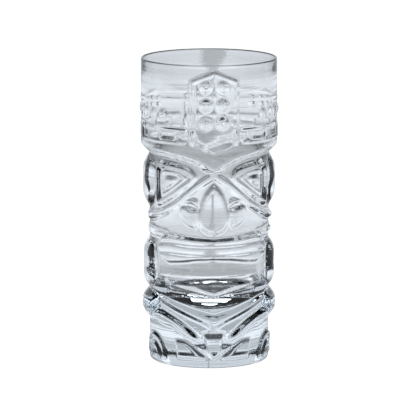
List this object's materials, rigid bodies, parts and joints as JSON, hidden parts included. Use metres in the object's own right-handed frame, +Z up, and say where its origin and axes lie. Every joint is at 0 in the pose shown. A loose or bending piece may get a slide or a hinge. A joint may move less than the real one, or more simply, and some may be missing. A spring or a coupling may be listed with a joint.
{
  "type": "tiki tumbler",
  "caption": "Clear pressed-glass highball tumbler with a carved-idol face in relief, a plain headband under the rim and a heavy solid base.",
  "frame": {"origin": "middle of the flat ring that the tumbler stands on, at the height of the surface it stands on", "axes": "+Z up through the open rim; the face looks along -Y and the back is plain under the headband; +X to the right seen from the front"},
  "size_m": [0.0756, 0.078, 0.1693],
  "materials": {
    "clear_glass": "fire-polished clear glass with a faint blue-grey tint"
  },
  "bodies": {
    "root": {"glass_tumbler": "clear_glass"}
  },
  "joints": []
}
